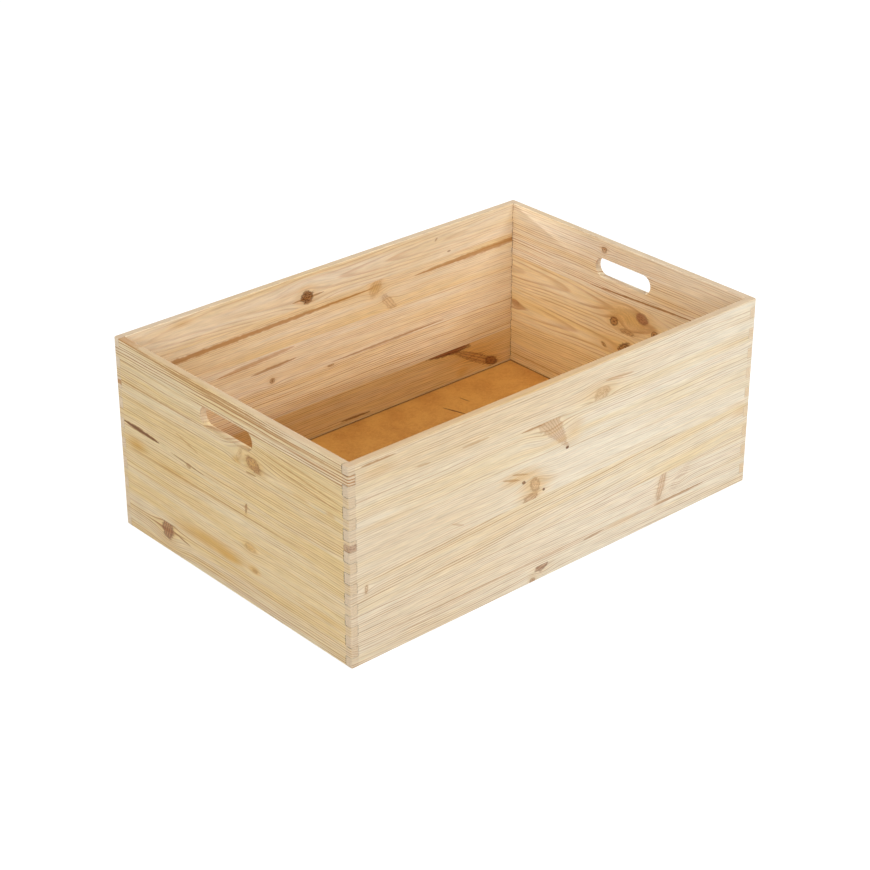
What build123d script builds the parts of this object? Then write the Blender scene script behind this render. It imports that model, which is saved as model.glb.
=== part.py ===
"""Open pine storage box: edge-glued stave walls, finger-jointed corners, hand slots and a hardboard floor.

Millimetres, +Z up. The origin is the middle of the footprint, on the surface that the box stands on.
X runs along the long walls and Y along the short end walls.
"""

import os

from build123d import *

os.makedirs("parts", exist_ok=True)

# Overall size of the box
length = 600.0
width = 400.0
height = 235.0
wall = 9.0

# Staves: every wall is glued up from boards of one width, above a lowest strip that was ripped narrower
stave_width = 43.5
front_lowest_strip = 17.5
back_lowest_strip = 21.5
end_lowest_strip = 36.0

# Finger joints, and the room that the glue takes between staves and between fingers
finger = 12.5
glue_gap = 0.1

# Edges eased after the glue-up
corner_round = 2.5
rim_round = 1.0
foot_round = 1.5

# Hand slots in the end walls, measured from the rim down
slot_length = 90.0
slot_height = 24.0
slot_drop = 24.0
slot_round = 0.8

# Hardboard floor, loose by a little in a groove round the inside
floor_thickness = 3.0
floor_rise = 16.0
groove_depth = 4.0
floor_play = 0.3

inside_length = length - 2 * wall
inside_width = width - 2 * wall
slot_centre = height - slot_drop - slot_height / 2

# The corner is a stack of fingers. The long walls own the lowest one and every second one above it,
# the end walls own the rest, and the last finger takes what is left below the rim.
finger_count = round(height / finger)
finger_lines = [i * finger for i in range(finger_count)] + [height]
fingers = list(zip(finger_lines, finger_lines[1:]))
long_wall_fingers = fingers[0::2]
end_wall_fingers = fingers[1::2]


def stave_lines(lowest_strip):
    """Heights of the glue lines in a wall, from the foot to the rim; the top stave takes what is left."""
    full_staves = max(1, round((height - lowest_strip) / stave_width))
    return [0.0] + [lowest_strip + i * stave_width for i in range(full_staves)] + [height]


def glued(low, high):
    """Foot and top of a piece between two lines, less half a glue gap at each line that meets another piece."""
    foot = low + glue_gap / 2 if low > 0 else low
    top = high - glue_gap / 2 if high < height else high
    return foot, top


# The whole box as it is after sanding: rounded corners, eased rim and foot, hand slots and floor groove.
# It isn't a piece. Every stave is cut from it, so that eased edges run on from one stave to the next.
with BuildPart() as sanded_box:
    with BuildSketch() as plan:
        RectangleRounded(length, width, corner_round)
        Rectangle(inside_length, inside_width, mode=Mode.SUBTRACT)
    extrude(amount=height)
    fillet(sanded_box.faces().sort_by(Axis.Z)[-1].edges(), rim_round)
    fillet(sanded_box.faces().sort_by(Axis.Z)[0].outer_wire().edges(), foot_round)

    with BuildSketch(Plane.YZ) as hand_slot:
        with Locations((0, slot_centre)):
            SlotOverall(slot_length, slot_height)
    extrude(amount=length, both=True, mode=Mode.SUBTRACT)
    fillet(sanded_box.edges(Select.LAST).filter_by(Axis.X, reverse=True), slot_round)

    with BuildSketch(Plane.XY.offset(floor_rise)) as groove:
        Rectangle(inside_length + 2 * groove_depth, inside_width + 2 * groove_depth)
    extrude(amount=floor_thickness + floor_play, mode=Mode.SUBTRACT)


# Walls: name, plane of the face that the board is extruded from, its full and inside span, lines and fingers
walls = [
    ("front", Plane.XZ.offset(inside_width / 2), length, inside_length, front_lowest_strip, long_wall_fingers),
    ("back", Plane.XZ.offset(-width / 2), length, inside_length, back_lowest_strip, long_wall_fingers),
    ("left", Plane.YZ.offset(-length / 2), width, inside_width, end_lowest_strip, end_wall_fingers),
    ("right", Plane.YZ.offset(inside_length / 2), width, inside_width, end_lowest_strip, end_wall_fingers),
]

for wall_name, board_plane, full_span, inside_span, lowest_strip, wall_fingers in walls:
    lines = stave_lines(lowest_strip)
    for number, (low, high) in enumerate(zip(lines, lines[1:]), start=1):
        foot, top = glued(low, high)
        with BuildPart() as stave:
            with BuildSketch(board_plane) as comb:
                with Locations((0, (foot + top) / 2)):
                    Rectangle(inside_span - 2 * glue_gap, top - foot)
                for finger_low, finger_high in wall_fingers:
                    finger_foot, finger_top = glued(finger_low, finger_high)
                    tongue_foot = max(foot, finger_foot)
                    tongue_top = min(top, finger_top)
                    if tongue_top > tongue_foot:
                        with Locations((0, (tongue_foot + tongue_top) / 2)):
                            Rectangle(full_span, tongue_top - tongue_foot)
            extrude(amount=wall)
            add(sanded_box.part, mode=Mode.INTERSECT)
        stave_name = f"{wall_name}_stave_{number}"
        stave.part.label = stave_name
        export_step(stave.part, f"parts/{stave_name}.step")


# Floor: one sheet that reaches into the groove on all four sides and lies on the groove's lower face
with BuildPart() as floor_panel:
    with BuildSketch(Plane.XY.offset(floor_rise)) as sheet:
        Rectangle(
            inside_length + 2 * (groove_depth - floor_play),
            inside_width + 2 * (groove_depth - floor_play),
        )
    extrude(amount=floor_thickness)
floor_panel.part.label = "floor_panel"
export_step(floor_panel.part, "parts/floor_panel.step")
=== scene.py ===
"""Open pine storage box: dresses its stave walls and its hardboard floor, and sets up the studio.

Wood is described in millimetres on each stave: "along" the grain, "up" from the table and "through" the
board. On the long walls, along is X. On the end walls it runs from the back edge of the box to the front.
"""

import math
from collections import namedtuple
from functools import partial

import bpy
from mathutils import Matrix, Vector


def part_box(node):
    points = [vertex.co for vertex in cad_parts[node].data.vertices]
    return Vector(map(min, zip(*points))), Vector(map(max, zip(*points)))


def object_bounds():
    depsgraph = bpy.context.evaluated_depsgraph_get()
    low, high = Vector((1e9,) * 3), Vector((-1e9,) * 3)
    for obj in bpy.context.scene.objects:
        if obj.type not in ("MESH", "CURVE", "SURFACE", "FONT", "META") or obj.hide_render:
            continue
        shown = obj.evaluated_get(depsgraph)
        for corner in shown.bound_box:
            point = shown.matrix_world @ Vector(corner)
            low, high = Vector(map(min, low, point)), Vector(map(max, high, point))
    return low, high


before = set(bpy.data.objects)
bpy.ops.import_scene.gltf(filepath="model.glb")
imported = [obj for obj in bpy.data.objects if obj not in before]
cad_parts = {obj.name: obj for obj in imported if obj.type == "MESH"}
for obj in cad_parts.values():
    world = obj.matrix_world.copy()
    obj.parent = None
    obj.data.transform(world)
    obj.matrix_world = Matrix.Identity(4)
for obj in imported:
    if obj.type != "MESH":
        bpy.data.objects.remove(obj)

bl_info = {
    "name": "Pine storage box",
    "version": (1, 0, 0),
    "blender": (4, 5, 0),
    "location": "View3D > Sidebar > Pine box",
    "description": "Dresses an open pine storage box with finger joints, hand slots and a hardboard floor",
    "category": "Object",
}

CAD_BOX = [list(corner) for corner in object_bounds()]
MM = 1000.0  # millimetres in one of Blender's metres

# Sizes of the box in millimetres, from the frame
HALF_LENGTH = CAD_BOX[1][0] * MM
HALF_WIDTH = CAD_BOX[1][1] * MM
RIM_UP = CAD_BOX[1][2] * MM
BOARD_LOW, BOARD_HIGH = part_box("front_stave_2")
BOARD = (BOARD_HIGH[1] - BOARD_LOW[1]) * MM
FINGER = 12.5  # height of a finger in the corner joints, which the frame doesn't give

# Kinds of node that are used often
MATH = "ShaderNodeMath"
VECTOR = "ShaderNodeVectorMath"
RANGE = "ShaderNodeMapRange"
MIX = "ShaderNodeMix"
NOISE = "ShaderNodeTexNoise"
GROUP = "ShaderNodeGroup"
SPLIT = "ShaderNodeSeparateXYZ"
JOIN = "ShaderNodeCombineXYZ"


def to_linear(hex_colour):
    """Turns an sRGB hex colour into linear red, green and blue."""
    channels = [int(hex_colour[i : i + 2], 16) / 255 for i in (1, 3, 5)]
    return tuple(c / 12.92 if c <= 0.04045 else ((c + 0.055) / 1.055) ** 2.4 for c in channels)


def add_node(tree, kind, inputs=None, **settings):
    """Adds a node with its settings, fills its inputs by value or link, and gives its first live output."""
    node = tree.nodes.new(kind)
    for name, value in settings.items():
        setattr(node, name, value)
    for key, value in (inputs or {}).items():
        if isinstance(value, bpy.types.NodeSocket):
            tree.links.new(value, node.inputs[key])
        else:
            node.inputs[key].default_value = value
    return next((out for out in node.outputs if out.enabled), node)


def colour_prop(name, description, hex_colour):
    """A colour that the panel shows, with its default from an sRGB hex value."""
    return bpy.props.FloatVectorProperty(
        name=name,
        description=description,
        default=to_linear(hex_colour),
        subtype="COLOR",
        size=3,
        min=0,
        max=1,
    )


def power_prop(name, description, watts):
    """The power of a lamp, as the panel shows it."""
    return bpy.props.FloatProperty(name=name, description=description, default=watts, min=0, unit="POWER")


class PineLook(bpy.types.PropertyGroup):
    """Colours of planed, uncoated pine, and of the painted shade on its rims and in its joint gaps."""

    pale: colour_prop("Sapwood", "Pale early wood between the growth lines", "#F6EAD2")
    warm: colour_prop("Warm wood", "Yellower early wood", "#F0D396")
    blush: colour_prop("Pink wood", "Early wood with a touch of pink", "#EBCBAE")
    late: colour_prop("Late wood", "Hard brown line at the end of a year's growth", "#B98450")
    heart: colour_prop("Heartwood", "Resin-rich golden wood", "#DDAA4C")
    amber: colour_prop("Amber resin", "Fresh resin in a streak", "#BA7A20")
    resin: colour_prop("Dark resin", "Resin that has darkened in a streak", "#5E3208")
    knot: colour_prop("Knot", "Branch wood", "#C58238")
    knot_dark: colour_prop("Dark knot", "Bark and dark rings of a branch", "#452310")
    knot_red: colour_prop("Red knot", "Branch wood that is full of red resin", "#9A5540")
    end_grain: colour_prop("End grain", "Finger ends, which are a little darker", "#E4CDAE")
    # Painted shade: the dark of the narrow gaps where the fingers meet
    joint: colour_prop("Joint line", "Painted shade in the gaps between the fingers", "#4E3019")
    # Painted shade: a darker colour laid over the rim faces that look up
    rim_shade: colour_prop("Painted rim shade", "Painted shade on the up-facing rims", "#A9825A")


class BoardLook(bpy.types.PropertyGroup):
    """Colours of hardboard."""

    face: colour_prop("Face", "Smooth pressed face", "#CE9447")
    fibre: colour_prop("Fibres", "Darker wood fibres in the face", "#AE6F2C")
    # Also the colour of the painted shade along the foot of the walls
    scratch_and_shade: colour_prop("Scratch", "Scratches in the face", "#5A3412")


class StudioLook(bpy.types.PropertyGroup):
    """Camera and light of the studio."""

    lens: bpy.props.FloatProperty(
        name="Lens",
        description="Focal length on a 36 mm sensor",
        default=92.49,
        unit="CAMERA",
        subtype="DISTANCE_CAMERA",
    )
    azimuth: bpy.props.FloatProperty(
        name="Azimuth",
        description="Turn of the camera about the box",
        default=math.radians(-41.65),
        subtype="ANGLE",
    )
    elevation: bpy.props.FloatProperty(
        name="Elevation",
        description="Camera angle above the table",
        default=math.radians(27.85),
        subtype="ANGLE",
    )
    distance: bpy.props.FloatProperty(
        name="Distance",
        description="From the camera to its aim",
        default=2.5442,
        unit="LENGTH",
        subtype="DISTANCE",
    )
    key_power: power_prop("Key light", "Small low light in front of the box", 15.0)
    fill_power: power_prop("Fill light", "Broad light beside the camera", 68.0)
    left_power: power_prop("Left light", "Broad light at the left end", 57.0)
    back_power: power_prop("Back light", "Narrow spot from behind the box, at the left", 122.0)
    rear_power: power_prop("Rear light", "Low light behind the box, at the right", 18.0)
    top_power: power_prop("Top light", "Soft light above the box", 11.5)
    sky: bpy.props.FloatProperty(
        name="Room light",
        description="Even light from all round",
        default=0.24,
        min=0,
    )


# How one stave was sawn from its log, in millimetres. The pith is the middle of the growth rings: its height,
# its depth in the board, and how far it leans and the grain tilts for each millimetre along. Then come the
# spacing of the rings, how far the log wanders, how bold the growth lines are and how yellow the wood is.
Figure = namedtuple("Figure", "pith_up pith_depth lean tilt spacing drift bold warmth")
# A branch in the stave. Slant is in degrees, taper narrows one end, bend is how far the grain bows round it,
# and lines is 0 where the branch is cut across and 1 where it is cut lengthwise. Dark and red tint its wood,
# and fill makes the wood cover more of the grain.
Knot = namedtuple(
    "Knot",
    "along up half_length half_width slant taper bend lines strength dark red fill",
    defaults=[0.0, 0.0],
)
# A thin streak of resin or a fine crack, from one point to another; dark 0 is amber, 1 is nearly black.
Streak = namedtuple("Streak", "start start_up end end_up half_width strength dark")
# A soft-edged area of resin-rich wood.
Patch = namedtuple("Patch", "along up half_length half_width strength")

# The usual stave of each wall, and then every stave from the foot to the rim with what shows on it
FRONT = Figure(-60, 30, 0.0, 0.0, 2.5, 9, 0.9, 0.1)
LEFT = Figure(-60, 25, 0.0, 0.0, 2.8, 9, 1.0, 0.85)
BACK = Figure(-60, 25, 0.0, 0.0, 2.4, 9, 0.55, 0.45)
RIGHT = Figure(-60, 20, 0.0, 0.0, 2.6, 10, 0.55, 0.2)

WALLS = {
    # The first Patch of each front stave lays golden wood over the left half of the wall: painted shade,
    # darker and yellower where less light falls
    "front": [
        (
            FRONT._replace(pith_up=-40, spacing=2.3, bold=0.72),
            [
                Patch(-190, 9, 190, 26, 0.08),
                Knot(-31, 16, 10, 6, 10, 0, 5, 1, 0.7, 0.4, 0.6),
                Knot(-45, 1, 4, 5, 0, 0, 4, 0, 0.75, 0.5, 0.2),
            ],
        ),
        (
            FRONT._replace(pith_up=130, spacing=2.3, bold=0.76, warmth=0.0),
            [
                Patch(-190, 39, 210, 40, 0.18),
                Knot(156, 47, 21, 5.5, 76, 0, 4, 1, 0.45, 0.18, 0.1, 0.1),
                Knot(187, 46, 20, 7, 40, 0, 3, 1, 0.15, 0.0, 0.4),
                Streak(145, 24.3, 228, 24.5, 1.9, 0.6, 0.4),
                Streak(32, 23, 65, 24.5, 1.6, 0.6, 0.5),
                Streak(-310, 28, 5, 25, 1.3, 0.4, 0.2),
                Streak(-110, 26, 240, 25, 3.0, 0.12, 0.0),
                Patch(90, 24, 26, 4, 0.24),
            ],
        ),
        (
            Figure(-70, 15, 0.0, 0.045, 2.8, 6, 0.72, 0.25),
            [
                Patch(-190, 82, 230, 40, 0.14),
                Knot(-279, 88, 5, 2.2, 84, 0, 4, 0, 0.5, 0.3),
                Patch(288, 98, 26, 8, 0.34),
            ],
        ),
        (
            FRONT._replace(pith_up=220, bold=0.45, warmth=0.05),
            [
                Patch(-200, 126, 190, 40, 0.23),
                Knot(-44, 121, 10, 7, -62, 0.1, 8, 0, 0.6, 0.2),
                Knot(-50, 106, 11, 7, 20, 0.5, 8, 1, 0.6, 0.15, 0.3),
                Knot(-61, 130, 2.6, 2.2, 0, 0, 2, 0, 0.9, 0.75),
                Knot(-31, 111, 2.0, 1.8, 0, 0, 1, 0, 0.9, 0.8),
                Patch(-68, 138, 32, 9, 0.5),
                Patch(-44, 121, 27, 19, 0.36),
                Streak(-92, 143, -66, 135, 1.8, 0.55, 0.2),
                Streak(-78, 145, -54, 138, 1.5, 0.5, 0.2),
                Streak(-164, 119, -146, 111, 1.8, 0.3, 0.1),
                Patch(276, 107, 26, 5, 0.24),
            ],
        ),
        (
            FRONT._replace(pith_up=90, drift=12, bold=0.56, warmth=0.2),
            [
                Patch(-190, 170, 200, 40, 0.13),
                Knot(-22, 187, 46, 13.5, -55, 0.75, 7, 1, 0.36, 0.2, 0.1, 0.2),
                Knot(3, 149.5, 2.4, 1.9, 0, 0, 2, 0, 0.95, 0.9),
                Patch(13, 168, 15, 17, 0.29),
                Patch(-250, 156, 60, 5, 0.24),
                Streak(-66, 190.2, -32, 190.4, 1.3, 0.7, 0.3),
            ],
        ),
        (
            FRONT._replace(pith_up=120, bold=0.56),
            [
                Patch(-180, 220, 330, 45, 0.3),
                Knot(54, 197, 12, 8, 15, 0.2, 9, 0, 0.5, 0.12),
                Patch(50, 200, 54, 12, 0.32),
                Patch(0, 236.5, 420, 4, 0.6),
                Streak(58, 211, 102, 208, 2.4, 0.4, 0.1),
                Streak(-284, 229.5, -238, 229, 1.4, 0.7, 0.3),
                Patch(-262, 218, 30, 9, 0.26),
                Streak(-150, 203, -111, 202.5, 1.5, 0.45, 0.2),
                Streak(-214, 204, -192, 202, 1.5, 0.4, 0.2),
            ],
        ),
    ],
    "left": [
        (
            LEFT._replace(pith_up=-60, bold=1.05, warmth=0.7),
            [
                Knot(82, 28, 13, 10, 70, 0.1, 9, 1, 0.95, 0.4, 0.5),
                Streak(92, 29, 124, 23.5, 1.2, 0.85, 0.5),
            ],
        ),
        (
            LEFT._replace(pith_up=140, bold=0.6, warmth=0.8),
            [
                Patch(160, 47, 78, 11, 0.8),
                Patch(195, 43, 24, 7, 0.72),
                Knot(234, 71, 9, 4.5, 0, 0, 4, 0, 0.5, 0.1),
                Patch(234, 71, 17, 7, 0.48),
                Patch(240, 46, 13, 6, 0.56),
                Knot(241, 45, 5, 2.2, 0, 0, 2, 0, 0.5, 0.3),
                Patch(360, 42, 50, 5, 0.32),
            ],
        ),
        (
            LEFT._replace(pith_up=10, bold=0.72),
            [
                Patch(32, 113, 28, 11, 0.9),
                Patch(95, 107, 55, 6, 0.56),
                Knot(230, 117, 7, 1.7, 82, 0, 3, 0, 0.75, 0.35),
                Streak(10, 104, 330, 108, 1.4, 0.5, 0.2),
            ],
        ),
        (
            LEFT._replace(pith_up=60, bold=0.74),
            [
                Streak(8, 135.7, 76, 132.6, 3.4, 1.0, 0.8),
                Streak(96, 130, 158, 126, 1.3, 0.7, 0.6),
                Knot(129, 126, 4, 3, 0, 0, 3, 0, 0.6, 0.4),
                Streak(108, 159, 148, 149, 1.5, 0.45, 0.1),
                Streak(232, 162, 250, 163, 1.6, 0.7, 0.4),
                Knot(397, 142, 7, 4.2, 0, 0, 2, 0, 0.5, 0.2, 1.0),
            ],
        ),
        (
            Figure(90, 15, 0.0, 0.0, 2.9, 10, 0.78, 0.85),
            [
                Patch(246, 175, 20, 13, 0.55),
                Knot(246, 175, 13, 8, -20, 0, 12, 0, 0.85, 0.25, 0.1),
                Knot(222, 178, 9, 3.5, 62, 0, 6, 0, 0.4, 0.1),
                Patch(217, 169, 10, 6, 0.56),
                Patch(322, 168, 16, 4, 0.44),
                Patch(371, 168, 8, 8, 0.44),
                Streak(-10, 185.5, 158, 185.5, 1.6, 0.6, 0.2),
                Streak(250, 197, 392, 186, 1.4, 0.55, 0.15),
                Streak(256, 190, 388, 178, 1.3, 0.5, 0.15),
                Streak(262, 203, 398, 196, 1.3, 0.45, 0.15),
            ],
        ),
        (
            Figure(110, 10, 0.0, 0.0, 3.2, 7, 2.0, 0.75),
            [
                Streak(-10, 236, 210, 227, 1.6, 0.55, 0.2),
                Streak(120, 233, 270, 229, 2.0, 0.6, 0.15),
                Streak(150, 226, 415, 224, 2.2, 0.55, 0.15),
                Streak(190, 219, 420, 217, 1.5, 0.45, 0.1),
            ],
        ),
    ],
    "back": [
        # Warmer low down and paler high up: partly the boards' own wood and heartwood, partly painted light,
        # the warm light thrown up from the floor
        (BACK._replace(pith_up=-50, warmth=0.6), []),
        (
            BACK._replace(pith_up=150, warmth=1.0, bold=0.7),
            [
                Knot(184, 64, 34, 5, -3, 0, 4, 1, 1.0, 0.6, 0.6),
                Knot(228, 43, 42, 6, -27, -0.3, 4, 1, 0.65, 0.4, 0.3),
                Knot(257, 29, 11, 6, -25, 0, 3, 0, 0.9, 0.7, 0.2),
                Patch(207, 30, 14, 9, 0.42),
                Streak(8, 26, 56, 25, 1.8, 0.8, 0.7),
                Patch(225, 48, 75, 30, 0.5),
            ],
        ),
        (BACK._replace(pith_up=20, bold=1.0, warmth=0.5), [Knot(-5, 107.5, 5, 2.6, 0, 0, 2, 0, 0.6, 0.3)]),
        (
            BACK._replace(pith_up=220, bold=0.62, warmth=0.35),
            [
                Streak(-124, 131, -56, 134, 2.4, 0.65, 0.3),
                Streak(-172, 143, -58, 149.5, 3.4, 0.5, 0.0),
                Knot(-93, 115.5, 4, 3.4, 0, 0, 4, 0, 0.8, 0.45),
                Streak(-4, 110.5, 176, 112, 2.2, 0.62, 0.25),
            ],
        ),
        (
            BACK._replace(pith_up=60, bold=0.45, warmth=0.55),
            [
                Streak(-560, 178, 64, 187.5, 4.0, 0.75, 0.12),
                Streak(128, 184.5, 460, 190, 4.6, 0.72, 0.12),
                Patch(25, 187, 52, 5, 0.36),
                Patch(66, 187, 15, 13, 0.5),
                Knot(66, 187, 13, 8, 60, 0, 4, 1, 0.3, 0.15),
                Knot(87, 162, 16, 6, -50, 0, 3, 1, 0.35, 0.15, 0.4),
            ],
        ),
        (
            Figure(219, -9, 0.035, 0.0, 3.0, 16, 0.38, 0.35),
            [
                Knot(-38, 206, 9, 8, 0, 0, 11, 0, 1.0, 0.9),
                Streak(-60, 204, -12, 205.5, 1.8, 0.7, 0.3),
                Patch(-215, 227, 22, 6, 0.36),
                Knot(184, 201, 3, 1.3, 0, 0, 1, 0, 0.6, 0.3),
                Knot(163, 222, 3, 1.5, 40, 0, 1, 0, 0.5, 0.2),
            ],
        ),
    ],
    "right": [
        # Warmer low down and paler high up: partly the boards' own wood, partly painted light, the warm light
        # thrown up from the floor
        (RIGHT._replace(pith_up=-50, bold=0.7, warmth=1.2), [Streak(0, 31, 125, 30, 1.6, 0.5, 0.2)]),
        (RIGHT._replace(pith_up=150, spacing=2.9, bold=0.75, drift=14, warmth=1.1), []),
        (
            Figure(101, -8, -0.04, 0.0, 3.2, 16, 0.6, 0.85),
            [
                Knot(207, 106, 12, 6, 40, 0, 8, 0, 0.9, 0.75),
                Knot(173.5, 99.5, 5, 2.6, -30, 0, 3, 0, 0.7, 0.5),
                Knot(17, 101.5, 7, 4.5, 0, 0, 2, 0, 0.28, 0.1, 0.9),
                Patch(190, 105, 42, 18, 0.36),
            ],
        ),
        (
            Figure(149, -8, -0.045, 0.0, 3.2, 14, 0.6, 0.6),
            [
                Knot(212, 143, 30, 17, 10, 0, 0, 0, 0.3, 0.1),
                Knot(235, 154.5, 10, 7, 0, 0, 10, 0, 0.6, 0.15, 1.0),
                Knot(189, 136, 7, 5.5, 20, 0, 7, 0, 0.95, 0.75),
                Knot(211, 128.5, 11, 4, 0, 0, 3, 0, 0.6, 0.45),
                Knot(256, 141, 6, 4, 30, 0, 4, 0, 0.9, 0.8),
                Patch(212, 147, 64, 25, 0.62),
            ],
        ),
        (
            RIGHT._replace(pith_up=60, bold=0.85, warmth=0.35),
            [Streak(146, 171.3, 332, 180.2, 1.6, 0.85, 0.4), Patch(275, 188, 48, 9, 0.3)],
        ),
        (RIGHT._replace(pith_up=330, warmth=0.25), [Knot(168.5, 223, 4.5, 3.6, 0, 0, 3, 0, 0.85, 0.55)]),
    ],
}

# A wall's own axes: the shift and the turn that make along, up and through, with through 0 in mid board, the
# side of through that faces the inside, half the wall's span and along's middle. Then its finish: how dark
# its joint lines, which are painted shade of the gaps, and its fingers are at either end, how light its
# boards are, which is painted light and shade setting one wall against another, and how much painted shade
# darkens its rim.
Place = namedtuple("Place", "shift turn inside half_span middle joints fingers shade rim")
LONG_TURN = (math.radians(-90), 0, 0)
END_TURN = (math.radians(-90), math.radians(90), 0)
MID_LONG = HALF_WIDTH - BOARD / 2
MID_END = HALF_LENGTH - BOARD / 2
PLACES = {
    "front": Place(
        shift=(0, 0, -MID_LONG),
        turn=LONG_TURN,
        inside=-1,
        half_span=HALF_LENGTH,
        middle=0,
        joints=(0.35, 0.2),
        fingers=(0.55, 0.1),
        shade=0.965,
        rim=0.45,
    ),
    "back": Place(
        shift=(0, 0, MID_LONG),
        turn=LONG_TURN,
        inside=1,
        half_span=HALF_LENGTH,
        middle=0,
        joints=(0.5, 0.9),
        fingers=(0.45, 0.45),
        shade=1.04,
        rim=0.55,
    ),
    "left": Place(
        shift=(HALF_WIDTH, 0, -MID_END),
        turn=END_TURN,
        inside=-1,
        half_span=HALF_WIDTH,
        middle=HALF_WIDTH,
        joints=(0.15, 1.0),
        fingers=(0.3, 0.55),
        shade=0.97,
        rim=0.45,
    ),
    "right": Place(
        shift=(HALF_WIDTH, 0, MID_END),
        turn=END_TURN,
        inside=1,
        half_span=HALF_WIDTH,
        middle=HALF_WIDTH,
        joints=(0.9, 0.3),
        fingers=(0.45, 0.3),
        shade=1.02,
        rim=0.5,
    ),
}
LONG_WALLS = ("front", "back")

# Patterns of the wood, in millimetres along the grain, up and through the board
LOG_WANDER = (260, 150, 150)
RIPPLES = (60, 14, 14)
FIBRES = (24, 1.5, 1.5)  # far finer on a real board; this is what still shows
TONES = (220, 13, 30)
PINK_HAZE = (90, 9, 30)
RAGGED_EDGES = (7, 2.2, 4)
SEED_STEP = (7.31, 3.77, 5.13)  # gives each stave its own stretch of every pattern

# Growth rings and branches, in millimetres
RIPPLE_HEIGHT = 2.0
SLOW_YEARS = 1 / 0.11  # from a spell of fast growth to the next of slow growth
UNEVEN_YEARS = 0.8  # how many rings such a spell moves the lines by
LATE_WOOD = (0.4, 0.85, 1.0)  # parts of a ring where late wood starts, is darkest and ends
LINE_WEIGHTS = (0.1, 1.2)  # of the faintest and the boldest years
LINE_RUN = 110  # how far along a growth line fades and comes back
LINE_SPELL = 3  # how far across the rings bold lines give way to faint ones
KNOT_LINES = 3.5  # between the rings of a branch
PIN_KNOT = 3  # half length up to which a knot has no halo

# Joint lines, painted shade of the gaps between fingers, as where they are full and where they end, from
# their middle or from the inner face. The real gaps are far finer, so the lines are drawn about 1 to 2 mm
# wide to show.
ROOT_LINE = (0.5, 1.3)
LEVEL_LINE = (0.25, 0.7)
INNER_LINE = (0.3, 0.9)

# Shares of the pine's finish. Nearly all values of a noise lie between its low and its high.
NOISE_LOW = 0.3
NOISE_HIGH = 0.7
WARMTH_SPREAD = 0.32
PINK_SHARE = 0.15
HALO_SHARE = 0.3
END_GRAIN_SHARE = 0.75
END_LINES_LOST = 0.4
RIM_LINES_LOST = 0.95
END_JOINTS_LOST = 0.7
FIBRE_SHADES = (0.89, 1.1)
PINE_ROUGHNESS = (0.56, 0.44)
PINE_BUMP = 0.2 / MM

# How dark a branch's wood and its rings get, and how far it covers the grain, also for its own dark and red
KNOT_SHADE = 0.45
RING_SHADE = 0.3
RING_SHADE_DARK = 0.65
COVER = 0.2
COVER_DARK = 0.7
COVER_RED = 0.4


def per_mm(sizes):
    """The scales of a pattern, from its sizes in millimetres."""
    return tuple(1 / size for size in sizes)


def new_group(name, inputs, outputs):
    """Starts a node group with its sockets, and gives its tree, its inputs and its outputs."""
    tree = bpy.data.node_groups.new(name, "ShaderNodeTree")
    for side, sockets in (("INPUT", inputs), ("OUTPUT", outputs)):
        for label, kind in sockets.items():
            tree.interface.new_socket(label, in_out=side, socket_type="NodeSocket" + kind)
    return tree, tree.nodes.new("NodeGroupInput").outputs, tree.nodes.new("NodeGroupOutput").inputs


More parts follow.
